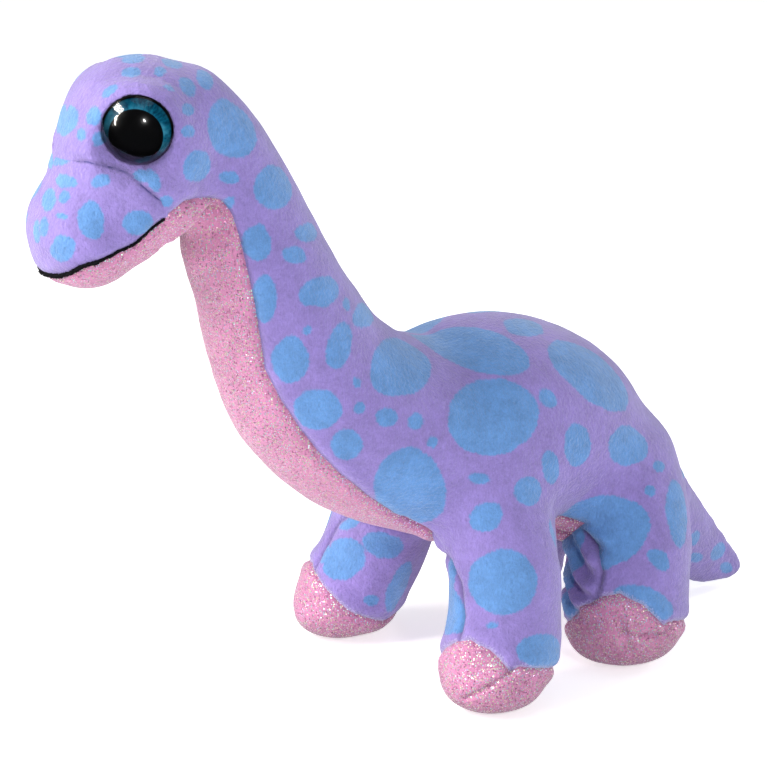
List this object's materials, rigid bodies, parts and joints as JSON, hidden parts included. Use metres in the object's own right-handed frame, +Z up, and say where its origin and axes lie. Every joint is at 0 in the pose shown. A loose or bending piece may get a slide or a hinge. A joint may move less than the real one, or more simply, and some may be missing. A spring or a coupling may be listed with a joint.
{
  "type": "stuffed dinosaur",
  "caption": "Long-necked dinosaur plush toy standing on stuffed legs, with a spotted fabric skin, glitter belly and feet, and glossy safety eyes.",
  "frame": {"origin": "on the surface that the feet stand on, under the middle of the toy's box", "axes": "+Z up, -X the way the toy faces, -Y its left side"},
  "size_m": [0.2952, 0.1242, 0.2296],
  "materials": {
    "plush_fabric": "matte",
    "glitter_fabric": "satin",
    "stuffing": "matte",
    "mouth_thread": "matte",
    "eye_dome": "gloss",
    "eye_iris": "gloss",
    "eye_fixing": "matte"
  },
  "bodies": {
    "torso": {"torso_left_panel": "plush_fabric", "torso_right_panel": "plush_fabric", "belly_panel": "glitter_fabric", "torso_stuffing": "stuffing"},
    "neck": {"neck_left_panel": "plush_fabric", "neck_right_panel": "plush_fabric", "throat_panel": "glitter_fabric", "neck_stuffing": "stuffing"},
    "head": {"head_left_panel": "plush_fabric", "head_right_panel": "plush_fabric", "muzzle_panel": "plush_fabric", "jaw_panel": "glitter_fabric", "head_stuffing": "stuffing", "mouth_thread": "mouth_thread", "left_eye_dome": "eye_dome", "left_eye_iris": "eye_iris", "left_eye_stem": "eye_fixing", "left_eye_washer": "eye_fixing", "right_eye_dome": "eye_dome", "right_eye_iris": "eye_iris", "right_eye_stem": "eye_fixing", "right_eye_washer": "eye_fixing"},
    "tail": {"tail_left_panel": "plush_fabric", "tail_right_panel": "plush_fabric", "tail_stuffing": "stuffing"},
    "front_left_leg": {"front_left_leg_outer_panel": "plush_fabric", "front_left_leg_inner_panel": "plush_fabric", "front_left_foot_cap": "glitter_fabric", "front_left_leg_stuffing": "stuffing"},
    "front_right_leg": {"front_right_leg_outer_panel": "plush_fabric", "front_right_leg_inner_panel": "plush_fabric", "front_right_foot_cap": "glitter_fabric", "front_right_leg_stuffing": "stuffing"},
    "hind_left_leg": {"hind_left_leg_outer_panel": "plush_fabric", "hind_left_leg_inner_panel": "plush_fabric", "hind_left_foot_cap": "glitter_fabric", "hind_left_leg_stuffing": "stuffing"},
    "hind_right_leg": {"hind_right_leg_outer_panel": "plush_fabric", "hind_right_leg_inner_panel": "plush_fabric", "hind_right_foot_cap": "glitter_fabric", "hind_right_leg_stuffing": "stuffing"}
  },
  "joints": [
    {"name": "neck_bend", "type": "hinge", "parent": "torso", "child": "neck", "pos_m": [-0.046, 0, 0.11], "axis": [0, 1, 0], "range_deg": [-12, 12], "stiffness_Nm_per_rad": 1},
    {"name": "head_nod", "type": "hinge", "parent": "neck", "child": "head", "pos_m": [-0.087, 0, 0.2], "axis": [0, 1, 0], "range_deg": [-12, 12], "stiffness_Nm_per_rad": 0.6},
    {"name": "tail_wag", "type": "hinge", "parent": "torso", "child": "tail", "pos_m": [0.095, 0, 0.045], "axis": [0, 0, 1], "range_deg": [-18, 18], "stiffness_Nm_per_rad": 0.2},
    {"name": "front_left_leg_swing", "type": "hinge", "parent": "torso", "child": "front_left_leg", "pos_m": [0.004, -0.022, 0.074], "axis": [0, 1, 0], "range_deg": [-6, 12], "stiffness_Nm_per_rad": 1},
    {"name": "front_right_leg_swing", "type": "hinge", "parent": "torso", "child": "front_right_leg", "pos_m": [0.004, 0.022, 0.074], "axis": [0, 1, 0], "range_deg": [-6, 12], "stiffness_Nm_per_rad": 1},
    {"name": "hind_left_leg_swing", "type": "hinge", "parent": "torso", "child": "hind_left_leg", "pos_m": [0.07, -0.02, 0.07], "axis": [0, 1, 0], "range_deg": [-12, 6], "stiffness_Nm_per_rad": 1},
    {"name": "hind_right_leg_swing", "type": "hinge", "parent": "torso", "child": "hind_right_leg", "pos_m": [0.07, 0.02, 0.07], "axis": [0, 1, 0], "range_deg": [-12, 6], "stiffness_Nm_per_rad": 1}
  ]
}
